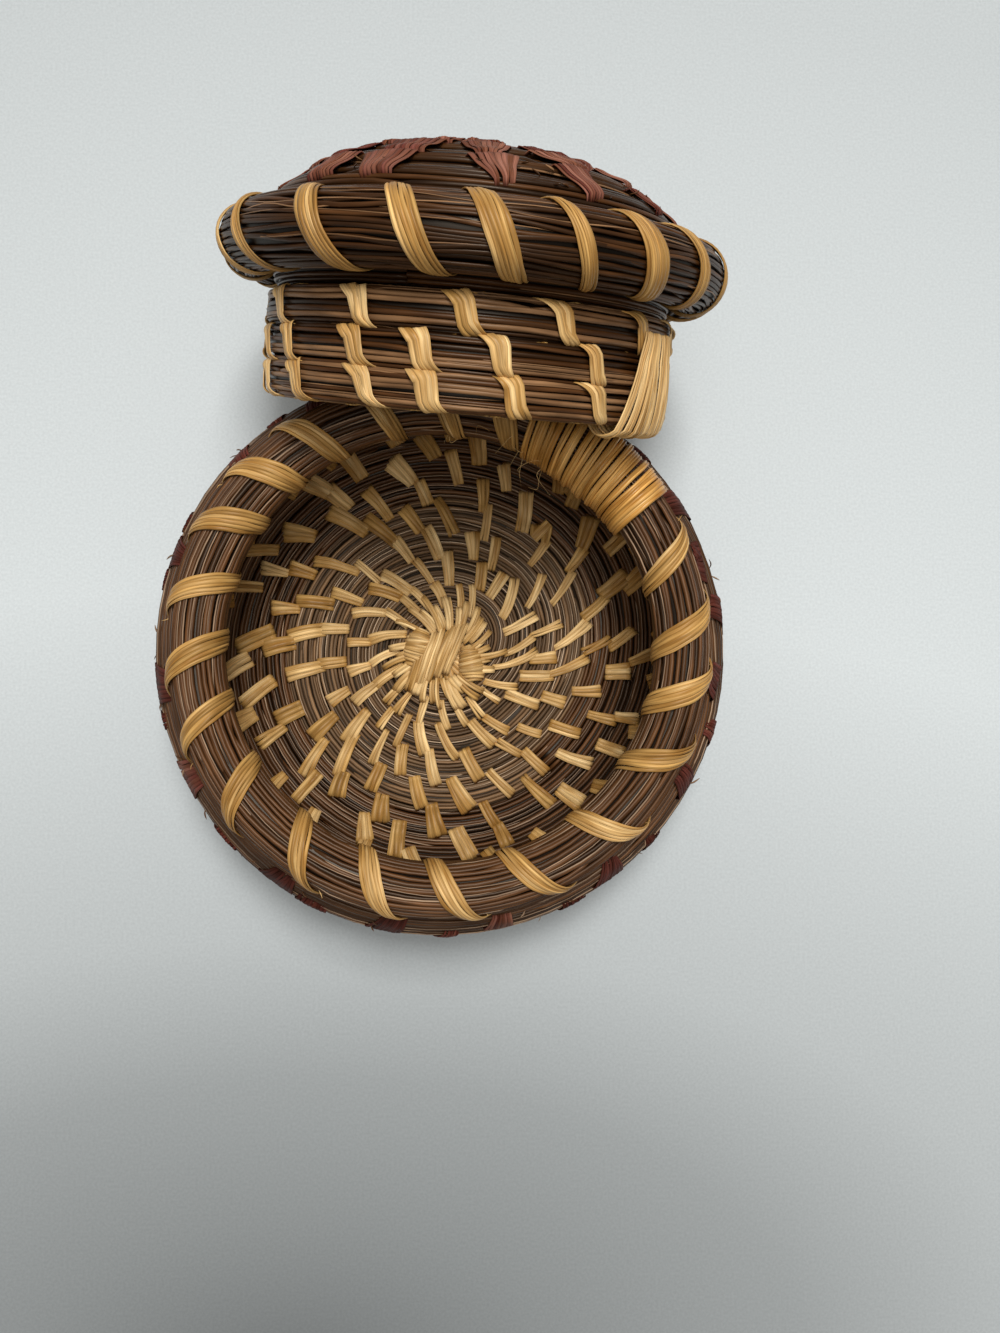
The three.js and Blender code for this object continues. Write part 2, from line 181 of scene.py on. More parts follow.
# Tints and shares of a finish's own colour, from its darkest strand up
# For needles, tint 0 is the bundle's core in painted shade, the lowest tints are the sunk dark needles,
# partly painted shade, and the top tints are the pale edges, partly painted highlight
NEEDLE_TONES = ((0.0, 0.10), (0.14, 0.30), (0.32, 0.62), (0.55, 1.05), (0.75, 1.55))
RAFFIA_TONES = ((0.0, 0.35), (0.25, 0.72), (0.6, 1))
RIDGE_HEIGHT = 0.03
WARM_GLOSS = (1.0, 0.86, 0.7, 1)

# Stage, in metres
FLOOR_REACH = 3.0
CLOTH = (0.95, 1.0, 1.0)
# Painted shadow on the cloth: darkest round a spot in front of the basket, lighter out to a third of a metre,
# a little darker beyond
PAINTED_CLOTH_SHADOW = ((0.0, 0.20), (0.06, 0.30), (0.12, 0.38), (0.18, 0.55), (0.33, 0.73), (0.6, 0.58))
PAINTED_SHADOW_MIDDLE = (0.035, 0.30, 0)
PAINTED_SHADOW_SQUEEZE = (1, 1.8, 1)
WEAVE = 1600
ROOM_COLOUR = (1.0, 0.985, 0.95, 1)
ROOM_LIGHT = 0.27
LAMPS = (("window", (0.06, 0.30, 0.82), 0.26, 5.4), ("ceiling", (0.0, -0.08, 0.95), 0.5, 2.1))
LAMP_AIM = (0, 0.02, 0)

# Camera, from the photograph
PHOTO_SIZE = (1000, 1333)
PHOTO_FOCUS = 925  # focal length in the photograph's pixels
SENSOR = 36
CAMERA_PLACE = (5.1, -12.0, 223.5)
CAMERA_TURN = (0.042, -0.036, 0.0)


class BasketSizes(bpy.types.PropertyGroup):
    """Sizes of the strands that a user would change."""

    needle: bpy.props.FloatProperty(
        name="Needle", description="Half width of a needle", default=0.56 * MM, unit="LENGTH")
    fullness: bpy.props.FloatProperty(
        name="Fullness", description="Size of a visible bundle beside its CAD solid", default=1.02)
    ribbon: bpy.props.FloatProperty(
        name="Ribbon", description="Width of a rim stitch", default=4.6 * MM, unit="LENGTH")
    floor_stitch: bpy.props.FloatProperty(
        name="Floor stitch", description="Width of a stitch on the base", default=2.9 * MM, unit="LENGTH")
    spokes: bpy.props.IntProperty(
        name="Spokes", description="Stitches in a round of the base", default=21)


class BasketColours(bpy.types.PropertyGroup):
    """Colours of the needles and the raffia."""

    brown: bpy.props.FloatVectorProperty(
        name="Brown", description="Needles of the wall and rim", default=(0.087, 0.037, 0.0125),
        subtype="COLOR")
    grey: bpy.props.FloatVectorProperty(
        name="Grey", description="Needles of the base", default=(0.185, 0.110, 0.055), subtype="COLOR")
    dark: bpy.props.FloatVectorProperty(
        name="Dark", description="Needles of the lid", default=(0.053, 0.021, 0.006), subtype="COLOR")
    tan: bpy.props.FloatVectorProperty(
        name="Tan", description="Plain raffia", default=(0.56, 0.32, 0.095), subtype="COLOR")
    gold: bpy.props.FloatVectorProperty(
        name="Gold", description="Raffia of the winding on the rim", default=(0.64, 0.335, 0.080),
        subtype="COLOR")
    red: bpy.props.FloatVectorProperty(
        name="Red", description="Dyed raffia", default=(0.130, 0.034, 0.024), subtype="COLOR")


# Shapes of strands

def distances(points):
    """Distance of each point from the first, along the line through them."""
    return np.concatenate([[0], np.cumsum(np.linalg.norm(np.diff(points, axis=0), axis=1))])


def directions(line, out):
    """Unit vectors ahead along a line and to its side."""
    ahead = np.gradient(line, axis=0)
    ahead /= np.linalg.norm(ahead, axis=1)[:, None] + TINY
    side = np.cross(ahead, out)
    side /= np.linalg.norm(side, axis=1)[:, None] + TINY
    return ahead, side


class Pile:
    """Strands that end up in one mesh, each with its own tint."""

    def __init__(self):
        self.points = []
        self.faces = []
        self.caps = []
        self.tints = []
        self.grains = []
        self.total = 0
        self.strands = 0

    def strand(self, line, out, wide, thick, tint, sides=6):
        """Adds one closed strand: line and out are n x 3, wide and thick its half sizes at each point."""
        line = np.asarray(line, float)
        count = len(line)
        if count < 3:
            return
        ahead, side = directions(line, out)
        lift = np.cross(side, ahead)
        turn = TAU * (np.arange(sides) + 0.5) / sides
        across = np.broadcast_to(wide, count)[:, None] * np.cos(turn)
        above = np.broadcast_to(thick, count)[:, None] * np.sin(turn)
        ring = line[:, None] + side[:, None] * across[:, :, None] + lift[:, None] * above[:, :, None]
        grain = np.zeros((count, sides, 3))
        grain[:, :, 0] = across
        grain[:, :, 1] = distances(line)[:, None]
        grain[:, :, 2] = self.strands * GRAIN_STEP
        first = self.total + np.arange(count - 1)[:, None] * sides
        k = np.arange(sides)
        after = (k + 1) % sides
        quads = np.stack([first + k, first + sides + k, first + sides + after, first + after], axis=2)
        self.points.append(ring.reshape(-1, 3))
        self.grains.append(grain.reshape(-1, 3))
        self.tints.append(np.repeat(np.broadcast_to(tint, count), sides))
        self.faces.append(quads.reshape(-1, 4))
        end = self.total + (count - 1) * sides
        self.caps.append(list(range(self.total, self.total + sides)))
        self.caps.append(list(range(end + sides - 1, end - 1, -1)))
        self.total += count * sides
        self.strands += 1

    def piece(self, name, material, turn=None):
        """Makes the object, in metres, moved by the lid's turn and place where they are given."""
        points = np.concatenate(self.points)
        if turn is not None:
            points = points @ turn[0].T + turn[1]
        points[:, 2] = np.maximum(points[:, 2], FLOOR_GAP)
        faces = np.concatenate(self.faces).tolist() + self.caps
        mesh = bpy.data.meshes.new(name)
        mesh.from_pydata((points * MM).tolist(), [], faces)
        mesh.attributes.new("tint", "FLOAT", "POINT").data.foreach_set("value", np.concatenate(self.tints))
        grain = mesh.attributes.new("grain", "FLOAT_VECTOR", "POINT")
        grain.data.foreach_set("vector", np.concatenate(self.grains).ravel())
        mesh.polygons.foreach_set("use_smooth", np.ones(len(mesh.polygons), bool))
        mesh.update()
        made = bpy.data.objects.new(name, mesh)
        made.data.materials.append(material)
        bpy.context.scene.collection.objects.link(made)
        return made


def wave(rng, reach, least=14.0, most=70.0, parts=3):
    """Smooth random waviness along a strand, as a function of the distance in mm."""
    rate = TAU / rng.uniform(least, most, parts)
    start = rng.uniform(0, TAU, parts)
    share = reach / parts

    def at(distance):
        return share * np.sin(np.asarray(distance)[..., None] * rate + start).sum(-1)
    return at


def smooth(share):
    """Eased from 0 to 1."""
    share = np.clip(share, 0, 1)
    return share * share * (3 - 2 * share)


class Profile:
    """Line that the middle of a winding follows, as points (radius, height)."""

    def __init__(self, points, least_pitch=None, rounds=None, pitch=None):
        self.points = np.array(points, float)
        self.along = distances(self.points)
        self.length = self.along[-1]
        gaps = max(1, int(self.length / least_pitch)) if rounds is None else rounds - 1
        self.rounds = gaps + 1
        self.pitch = self.length / gaps if pitch is None else pitch

    def spot(self, distance):
        """Radius and height at distances along the line."""
        return np.array([np.interp(distance, self.along, column) for column in self.points.T])

    def at(self, distance):
        """Radius, height and direction ahead, also past the line's ends, where it goes straight on."""
        kept = np.clip(distance, 0, self.length)
        r, z = self.spot(kept)
        ahead_r, ahead_z = self.spot(kept + AHEAD_STEP) - self.spot(kept - AHEAD_STEP)
        size = np.hypot(ahead_r, ahead_z) + TINY
        past = (distance - kept) / size
        return r + past * ahead_r, z + past * ahead_z, ahead_r / size, ahead_z / size


class Coil:
    """Middle line of a bundle, with its directions ahead along the profile and out, and its size."""

    def __init__(self, centre, ahead, out, size):
        self.centre = centre
        self.ahead = ahead
        self.out = out
        self.size = size
        self.along = distances(centre)


def around(r, z, angle):
    """Points or directions from their parts outward and up, turned round the axis."""
    return np.stack([r * np.cos(angle), r * np.sin(angle), z + 0 * angle], axis=-1)


def climb_of(turns):
    """Rounds that a winding has moved on at a number of turns: level, then a smooth climb."""
    whole = np.floor(turns + SLACK)
    return whole + smooth((turns - whole - (1 - CLIMB_SHARE)) / CLIMB_SHARE)


def coil_at(profile, distance, angle, size):
    """Coil through distances along a profile and angles round it."""
    r, z, ahead_r, ahead_z = profile.at(distance)
    return Coil(around(r, z, angle), around(ahead_r, ahead_z, angle), around(ahead_z, -ahead_r, angle), size)


def coil_of(profile, seam, start, end, thin_start, thin_end, steps=72):
    """Bundle of a winding between two numbers of turns, thinned in the wedge at an end where asked."""
    turns = np.linspace(start, end, int((end - start) * steps) + 1)
    size = np.ones(len(turns))
    distance = climb_of(turns) * profile.pitch
    if thin_start:
        level = round(start + CLIMB_SHARE)
        early = turns < level
        share = smooth((level - turns) / CLIMB_SHARE)
        size = np.where(early, np.clip(1 - share * THIN_LOSS, THINNEST, 1), size)
        distance = np.where(early, level * profile.pitch - BUNDLE_HALF * (1 - size), distance)
    if thin_end:
        level = math.floor(end - CLIMB_SHARE)
        late = turns > level + 1 - CLIMB_SHARE - SLACK
        share = smooth((turns - level - 1 + CLIMB_SHARE) / CLIMB_SHARE)
        size = np.where(late, np.clip(1 - share * THIN_LOSS, THINNEST, 1), size)
        distance = np.where(late, level * profile.pitch + BUNDLE_HALF * (1 - size), distance)
    return coil_at(profile, distance, np.radians(seam) + turns * TAU, size)


def rim_of(radius, height, seam, steps=90):
    """Thick single round, closed at its seam."""
    angle = np.radians(seam) + np.linspace(0, 1, steps) * TAU
    one = np.ones(steps)
    return Coil(around(radius * one, height * one, angle), around(0 * one, one, angle),
                around(one, 0 * one, angle), one)


def seat_of(profile, seam, steps=90):
    """Ring in the groove between a winding's last round and the thick round that sits on it."""
    beyond = profile.length + BUNDLE_HALF + (CLEARANCE + LACE_DEPTH) / 2
    angle = np.radians(seam) + np.linspace(0, 1, steps) * TAU
    one = np.ones(steps)
    return coil_at(profile, beyond * one, angle, one)


def squared(value, power):
    """Sine or cosine of a squarer section, the lower the power."""
    return np.sign(value) * np.abs(value) ** power


def lay_needles(pile, coil, snug, deep, needle, rng, pale=0.35, twist=0.003, reach=0.05, square=0.8,
                shift=0.0):
    """Needles side by side all round a coil, each a single stalk that starts and ends inside the bundle.

    snug is the bundle's half size towards its neighbours, which it is pressed against, and deep across that.
    pale is the share of the grooves that hold a thin pale edge, partly a pale fibre and partly painted
    highlight, and shift lightens all the needles as painted light. The bundle's core is drawn in the darkest
    tint as painted shade.
    """
    fine = np.linspace(0, TAU, 145)
    hoop = np.stack([(snug - needle) * squared(np.cos(fine), square),
                     (deep - needle) * squared(np.sin(fine), square)], axis=1)
    walked = distances(hoop)
    count = max(6, round(walked[-1] / (NEEDLE_SPACING * needle)))
    last = coil.along[-1]
    # Core of the bundle in tint 0, the darkest: painted shade seen in the gaps between the needles
    pile.strand(coil.centre, coil.out, (snug - CORE_INSET * needle) * coil.size,
                (deep - CORE_INSET * needle) * coil.size, 0.0, sides=10)

    def lay(slot, begin, finish, half, tint, sunk, sides):
        kept = (coil.along >= begin) & (coil.along <= finish)
        if kept.sum() < 4:
            return
        along = coil.along[kept]
        sway = wave(rng, reach)
        rise = wave(rng, NEEDLE_RISE)
        ends = np.minimum(1, (finish - along) / NEEDLE_TAPER)
        if begin > 0:
            ends = np.minimum(ends, (along - begin) / NEEDLE_TAPER)
        ends = np.clip(ends, 0, 1)
        way = np.mod(slot / count + (twist * along + sway(along)) / TAU, 1.0) * walked[-1]
        turn = np.interp(way, walked, fine)
        size = coil.size[kept]
        depth = rise(along) - 1.0 * (1 - ends) - sunk
        side = (snug - needle) * size + depth
        up = (deep - needle) * size + depth
        toward_side = (side * squared(np.cos(turn), square))[:, None]
        toward_up = (up * squared(np.sin(turn), square))[:, None]
        line = coil.centre[kept] + coil.ahead[kept] * toward_side + coil.out[kept] * toward_up
        out = coil.ahead[kept] * np.cos(turn)[:, None] + coil.out[kept] * np.sin(turn)[:, None]
        shape = half * (0.5 + 0.5 * ends)
        pile.strand(line, out, shape, NEEDLE_DEPTH * shape, tint, sides=sides)

    for slot in range(count):
        begin = -rng.uniform(0, 160)
        while begin < last:
            finish = begin + rng.uniform(*NEEDLE_LENGTHS)
            # A dark needle sits sunk in its groove: partly a darker needle, partly painted shade in the gap
            dark = rng.random() < DARK_SHARE
            tint = rng.uniform(*DARK_NEEDLE_AND_GAP_SHADE_TINTS) if dark else rng.uniform(*NEEDLE_TINTS) + shift
            lay(slot + rng.normal(0, 0.12), begin, finish, needle * rng.uniform(*NEEDLE_SIZES), tint,
                rng.uniform(*DARK_SUNK) if dark else 0.0, 5)
            begin = finish - rng.uniform(*NEEDLE_OVERLAPS)
        begin = -rng.uniform(0, 90)
        while begin < last:
            finish = begin + rng.uniform(*EDGE_LENGTHS)
            # A pale edge: partly a pale fibre, partly painted highlight
            if rng.random() < pale:
                lay(slot + 0.5 + rng.normal(0, 0.08), begin, finish, needle * rng.uniform(*EDGE_SIZES),
                    rng.uniform(*PALE_EDGE_FIBRE_AND_HIGHLIGHT_TINTS), -EDGE_LIFT * needle + rng.uniform(0, 0.08), 4)
            begin = finish + rng.uniform(*EDGE_GAPS)


def lay_ribbon(pile, line, out, width, rng, bands=4, thick=0.16, tint=None, spread=0.12, split=0.0,
               crown=0.22, dim=0.0, twist=0.0):
    """Flat raffia ribbon of several fibre bands side by side, a little crowned, with ragged edges.

    dim darkens it towards its ends, painted shade where it tucks round and between the coils, and twist tips
    it from side to side, as a share of its width.
    """
    line = np.asarray(line, float)
    out = np.broadcast_to(out, line.shape)
    side = directions(line, out)[1]
    along = distances(line)
    width = np.broadcast_to(width, len(line))
    base = rng.uniform(0.25, 0.8) if tint is None else tint
    # Nought in the middle, one at the ends, where dim paints shade
    ends = np.abs(2 * along / (along[-1] + SLACK) - 1) ** 1.6
    tip = wave(rng, twist, 5, 16)(along) if twist else 0 * along
    for band in range(bands):
        share = (band + 0.5) / bands - 0.5
        sway = wave(rng, 0.10, 5, 22)
        lean = rng.normal(0, split)
        offset = (share * width * (1 - 1 / (2.5 * bands)) + sway(along)
                  + lean * (along / (along[-1] + SLACK) - 0.5))
        lift = crown * (1 - (2 * share) ** 2) + rng.uniform(0, 0.10)
        half = width / bands * rng.uniform(0.52, 0.66)
        raised = lift + tip * share * width
        pile.strand(line + side * offset[:, None] + out * raised[:, None], out, half, thick,
                    np.clip(base + rng.normal(0, spread) - dim * ends, 0, 1), sides=6)


def lay_fibre(pile, points, half, tint):
    """Thin loose fibre on a smooth curve through a few points."""
    points = np.array(points, float)
    knots = np.arange(len(points))
    fine = np.linspace(0, len(points) - 1, 8 * (len(points) - 1) + 1)
    line = np.stack([cubic(knots, points[:, k], fine) for k in range(3)], axis=1)
    taper = np.clip(1.3 - np.abs(2 * fine / fine[-1] - 1), 0.3, 1)
    pile.strand(line, UP, half * taper, half * taper, tint, sides=4)


def cubic(knots, values, fine):
    """Values between knots on a smooth curve with natural slopes."""
    slope = np.gradient(values, knots)
    place = np.clip(np.floor(fine).astype(int), 0, len(knots) - 2)
    t = fine - place
    a, b = values[place], values[place + 1]
    m, n = slope[place], slope[place + 1]
    return (a * (2 * t**3 - 3 * t**2 + 1) + m * (t**3 - 2 * t**2 + t)
            + b * (-2 * t**3 + 3 * t**2) + n * (t**3 - t**2))


# Materials

def set_inputs(node, values):
    """Sets the values on a node's own sockets."""
    for key, value in values.items():
        node.inputs[key].default_value = value
    return node


def node_of(tree, kind, inputs=(), **settings):
    """New node with its settings and the values on its sockets."""
    node = tree.nodes.new(kind)
    for key, value in settings.items():
        setattr(node, key, value)
    return set_inputs(node, dict(inputs))


def ramp(tree, source, stops):
    """Colours at places along a value, in rising order."""
    node = tree.nodes.new("ShaderNodeValToRGB")
    elements = node.color_ramp.elements
    for element, (place, colour) in ((elements[0], stops[0]), (elements[1], stops[-1])):
        element.position = place
        element.color = (*colour, 1)
    for place, colour in stops[1:-1]:
        elements.new(place).color = (*colour, 1)
    tree.links.new(source, node.inputs[0])
    return node.outputs[0]


def multiplied(tree, colour, shade):
    """One colour times another."""
    mix = node_of(tree, "ShaderNodeMix", {"Factor": 1}, data_type="RGBA", blend_type="MULTIPLY")
    tree.links.new(colour, mix.inputs["A"])
    tree.links.new(shade, mix.inputs["B"])
    return mix.outputs["Result"]


def streaks(tree, across, along, detail=3.0):
    """Noise drawn out along the strand."""
    grain = node_of(tree, "ShaderNodeAttribute", attribute_name="grain")
    stretch = node_of(tree, "ShaderNodeMapping", {"Scale": (across, along, 1)})
    noise = node_of(tree, "ShaderNodeTexNoise", {"Scale": 1, "Detail": detail})
    tree.links.new(grain.outputs["Vector"], stretch.inputs["Vector"])
    tree.links.new(stretch.outputs[0], noise.inputs["Vector"])
    return noise.outputs["Fac"]


def strand_finish(name, stops, mottle, rough, across, along, bump, gloss):
    """Finish of needles or raffia: colour by strand, mottled and streaked along it, with a fine ridge."""
    made = bpy.data.materials.new(name + FINISH)
    made.use_nodes = True
    tree = made.node_tree
    shader = tree.nodes["Principled BSDF"]
    tint = node_of(tree, "ShaderNodeAttribute", attribute_name="tint")
    colour = ramp(tree, tint.outputs["Fac"], stops)
    fine = streaks(tree, across, along)
    broad = streaks(tree, 0.15, 0.09, 2.0)
    dim = ramp(tree, fine, [(0.3, (mottle[0],) * 3), (0.7, (mottle[1],) * 3)])
    blotch = ramp(tree, broad, [(0.35, mottle[2]), (0.65, mottle[3])])
    for shade in (dim, blotch):
        colour = multiplied(tree, colour, shade)
    tree.links.new(colour, shader.inputs["Base Color"])
    shine = node_of(tree, "ShaderNodeMapRange", {"To Min": rough[0], "To Max": rough[1]})
    tree.links.new(fine, shine.inputs["Value"])
    tree.links.new(shine.outputs[0], shader.inputs["Roughness"])
    ridge = node_of(tree, "ShaderNodeBump", {"Strength": bump, "Distance": RIDGE_HEIGHT * MM})
    tree.links.new(fine, ridge.inputs["Height"])
    tree.links.new(ridge.outputs[0], shader.inputs["Normal"])
    set_inputs(shader, {"Specular IOR Level": gloss, "Specular Tint": WARM_GLOSS})
    return made


def times(colour, share):
    """A colour made darker or lighter."""
    return tuple(min(1, max(0, c * share)) for c in colour)


def toward(colour, other, share):
    """A colour part of the way to another."""
    return tuple(a + (b - a) * share for a, b in zip(colour, other))


def needle_finish(name, colour, pale, rough, gloss):
    """Finish of dried needles, from the painted shade of a bundle's core through dark needles, partly painted
    shade, to pale edges, partly painted highlight.
    """
    stops = [(tint, times(colour, share)) for tint, share in NEEDLE_TONES]
    stops += [(0.82, toward(colour, pale, 0.7)), (1.0, pale)]
    return strand_finish(name, stops, (0.62, 1.25, (0.70, 0.62, 0.56), (1.22, 1.15, 1.08)),
                         rough, 2.4, 0.12, 0.5, gloss)


def raffia_finish(name, colour, pale, rough, gloss):
    """Finish of raffia, with finer and longer streaks."""
    stops = [(tint, times(colour, share)) for tint, share in RAFFIA_TONES]
    stops.append((1.0, toward(times(colour, 1.25), pale, 0.55)))
    return strand_finish(name, stops, (0.6, 1.25, (0.70, 0.58, 0.42), (1.14, 1.14, 1.16)),
                         rough, 5.5, 0.08, 0.8, gloss)


def finishes():
    """The materials by slot, made once. The frame holds plain ones with the slots' own names."""
    if "needles_brown" + FINISH not in bpy.data.materials:
        c = bpy.context.scene.basket_colours
        # The pale colour of each needle finish is for its pale edges: partly pale fibres, partly painted
        # highlight
        needle_finish("needles_brown", c.brown, (0.36, 0.25, 0.165), (0.30, 0.52), 0.35)
        needle_finish("needles_grey", c.grey, (0.60, 0.46, 0.32), (0.34, 0.58), 0.3)
        needle_finish("needles_dark", c.dark, (0.26, 0.145, 0.07), (0.26, 0.5), 0.28)
        raffia_finish("raffia_tan", c.tan, (0.95, 0.72, 0.38), (0.3, 0.55), 0.35)
        raffia_finish("raffia_gold", c.gold, (0.95, 0.64, 0.25), (0.24, 0.45), 0.5)
        raffia_finish("raffia_red", c.red, (0.38, 0.18, 0.115), (0.5, 0.78), 0.1)
    return {m.name[:-len(FINISH)]: m for m in bpy.data.materials if m.name.endswith(FINISH)}


# Lines of the basket and the lid

def arc(cx, cz, rx, rz, start, end, steps=40):
    """Points (radius, height) on an arc, between two angles in degrees."""
    turn = np.radians(np.linspace(start, end, steps))
    return [(cx + rx * math.cos(t), cz + rz * math.sin(t)) for t in turn]


def wall_profile():
    """Line of the base and the wall, from the knot out and up to the shoulder."""
    first = KNOT_RADIUS + CLEARANCE + BUNDLE_HALF
    points = [(first, BASE_LINE)] + arc(
        FLOOR_RADIUS, BELLY_HEIGHT, BELLY_RADIUS - FLOOR_RADIUS, BELLY_HEIGHT - BASE_LINE, -90, 0)
    points += arc(BELLY_RADIUS - SHOULDER_RADIUS, BELLY_HEIGHT, SHOULDER_RADIUS, SHOULDER_RADIUS,
                  0, SHOULDER_TURN)[1:]
    return Profile(points, BASE_PITCH)


def rim_line(profile):
    """Radius and height of the rim coil, seated on the last round."""
    r, z, ahead_r, ahead_z = profile.at(profile.length)
    seat = BUNDLE_HALF + CLEARANCE + LACE_DEPTH + RIM_COIL
    return float(r + seat * ahead_r), float(z + seat * ahead_z)


def dome_profile():
    """Line of the dome, from its top out to the lid's rim."""
    seat = BUNDLE_HALF + CLEARANCE + LACE_DEPTH + LID_COIL
    seat_in = seat * math.cos(math.radians(DOME_SEAT))
    seat_up = seat * math.sin(math.radians(DOME_SEAT))
    across = (lid_radius() - seat_in) / math.sqrt(1 - (seat_up / DOME_RISE) ** 2)
    start = math.degrees(math.acos((LID_KNOT_RADIUS + CLEARANCE + BUNDLE_HALF) / across))
    end = math.degrees(math.asin(seat_up / DOME_RISE))
    return Profile(arc(0, 0, across, DOME_RISE, start, end), DOME_PITCH)


def plug_line():
    """Radius of the plug ring's rounds, and the height of their first middle."""
    rim_radius, _ = rim_line(wall_profile())
    radius = rim_radius - RIM_COIL - LACE_DEPTH - PLUG_FIT - LACE_DEPTH - BUNDLE_CORNER
    return radius, -(LID_COIL + 2 * LACE_DEPTH + CLEARANCE) - BUNDLE_HALF


def lid_radius():
    """Radius of the middle of the lid's rim coil."""
    return plug_line()[0] + LID_OVERHANG


def lid_turn():
    """Turn and place of the leaning lid, read from the CAD model's lid rim."""
    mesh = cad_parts["lid_rim_coil"].data
    spots = np.array([v.co for v in mesh.vertices], float) / MM
    _, _, rows = np.linalg.svd(spots - spots.mean(0), full_matrices=False)
    axis = rows[2] * np.sign(rows[2][1])
    lean = math.asin(axis[2])
    yaw = math.atan2(-axis[0], axis[1])
    tip = -(math.pi / 2 - lean)
    about_z = np.array([[math.cos(yaw), -math.sin(yaw), 0], [math.sin(yaw), math.cos(yaw), 0], [0, 0, 1]])
    about_x = np.array([[1, 0, 0], [0, math.cos(tip), -math.sin(tip)], [0, math.sin(tip), math.cos(tip)]])
    low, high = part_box("lid_rim_coil")
    middle = np.array((low + high) / 2) / MM
    return about_z @ about_x @ np.diag([-1.0, -1.0, 1.0]), middle


def place(pile, name, body, slot, *nodes):
    """Makes a piece with its slot's finish, puts it on its body and hides the CAD nodes that it stands for.
    """
    made = pile.piece(name, finishes()[slot], lid_turn() if body == "lid" else None)
    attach(made, body)
    if nodes:
        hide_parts(*nodes)


def lay_stitches(pile, profile, seam, number, count, width, rng, inside, slant, bands=3, tints=(0.4, 0.9),
                 reach=0.62, middle_at=-0.2, fan=0.0, stagger=0.5, crown=0.1):
    """Flat stitches, each from inside the round before over one round, on one side of the wall."""
    way = -1.0 if inside else 1.0
    share = np.linspace(-1, 1, 13)
    r_mid = max(8.0, float(profile.at(np.array([number * profile.pitch]))[0][0]))
    for stitch in range(count):
        middle = (stitch + stagger * number + rng.uniform(-0.26, 0.26)) / count
        half = reach * rng.uniform(0.7, 1.18)
        lean = math.tan(math.radians(slant * rng.uniform(0.2, 1.9)))
        turns = middle + half * share * profile.pitch * lean / (TAU * r_mid)
        past = middle_at + half * share
        moved = number + past + climb_of(np.mod(turns, 1.0))
        distance = np.minimum(moved * profile.pitch, profile.length + 0.5 * profile.pitch)
        angle = np.radians(seam) + turns * TAU
        r, z, ahead_r, ahead_z = profile.at(distance)
        out = around(ahead_z, -ahead_r, angle) * way
        dive = np.clip((np.abs(share) - 0.78) / 0.22, 0, 1) ** 2
        lift = BUNDLE_DEEP + (0.16 if inside else 0.0) - 0.42 * np.sin(math.pi * past) ** 2 - 1.1 * dive
        size = width * rng.uniform(0.7, 1.25) * (1 + (fan + rng.uniform(-0.14, 0.14)) * share)
        lay_ribbon(pile, around(r, z, angle) + out * lift[:, None], out, size, rng, bands=bands,
                   tint=rng.uniform(*tints), thick=0.12, crown=crown, split=0.3, spread=0.1, dim=0.15)


# Pieces of the basket

class BASKET_OT_basket_needles(bpy.types.Operator):
    """Lay the basket's needles: base, wall and rim"""

    bl_idname = "basket.basket_needles"
    bl_label = "Basket needles"

    def execute(self, context):
        sizes = context.scene.basket_sizes
        needle = sizes.needle / MM
        profile = wall_profile()
        snug = profile.pitch / 2 * PRESSED
        turn_up = BASE_ROUNDS - CLIMB_SHARE  # where the base ends and the wall begins
        pile = Pile()
        coil = coil_of(profile, BASKET_SEAM, -CLIMB_SHARE, turn_up, True, False)
        lay_needles(pile, coil, snug, BUNDLE_DEEP, needle * 0.85, np.random.default_rng(11), pale=0.45)
        place(pile, "base_needles", "basket", "needles_grey", "base_coil")
        pile = Pile()
        coil = coil_of(profile, BASKET_SEAM, turn_up, profile.rounds, False, True)
        lay_needles(pile, coil, snug, BUNDLE_DEEP, needle, np.random.default_rng(12), pale=0.36)
        place(pile, "wall_needles", "basket", "needles_brown", "wall_coil")
        rng = np.random.default_rng(13)
        pile = Pile()
        whole = RIM_COIL * sizes.fullness
        lay_needles(pile, rim_of(*rim_line(profile), BASKET_SEAM), whole, whole, needle, rng, pale=0.4,
                    square=1.0)
        lay_needles(pile, seat_of(profile, BASKET_SEAM), *SEAT_SIZE, needle, rng)
        place(pile, "rim_needles", "basket", "needles_brown", "rim_coil")
        return {"FINISHED"}


class BASKET_OT_base_stitches(bpy.types.Operator):
    """Sew the base and the lower wall with plain raffia, seen inside and under the basket"""

    bl_idname = "basket.base_stitches"
    bl_label = "Base stitches"

    def execute(self, context):
        sizes = context.scene.basket_sizes
        profile = wall_profile()
        rng = np.random.default_rng(21)
        pile = Pile()
        for number in range(1, INSIDE_RED):
            width = sizes.floor_stitch / MM * min(1.35, 0.66 + 0.11 * number)
            tints = (0.75, 1.0) if number < 4 else (0.45, 0.95)
            lay_stitches(pile, profile, BASKET_SEAM, number, sizes.spokes, width, rng, True, 16, tints=tints,
                         reach=0.64 if number < 4 else 0.76, fan=0.12)
            if number < OUTSIDE_RED:
                lay_stitches(pile, profile, BASKET_SEAM, number, sizes.spokes, width, rng, False, 14)
        place(pile, "base_stitches", "basket", "raffia_tan")
        return {"FINISHED"}


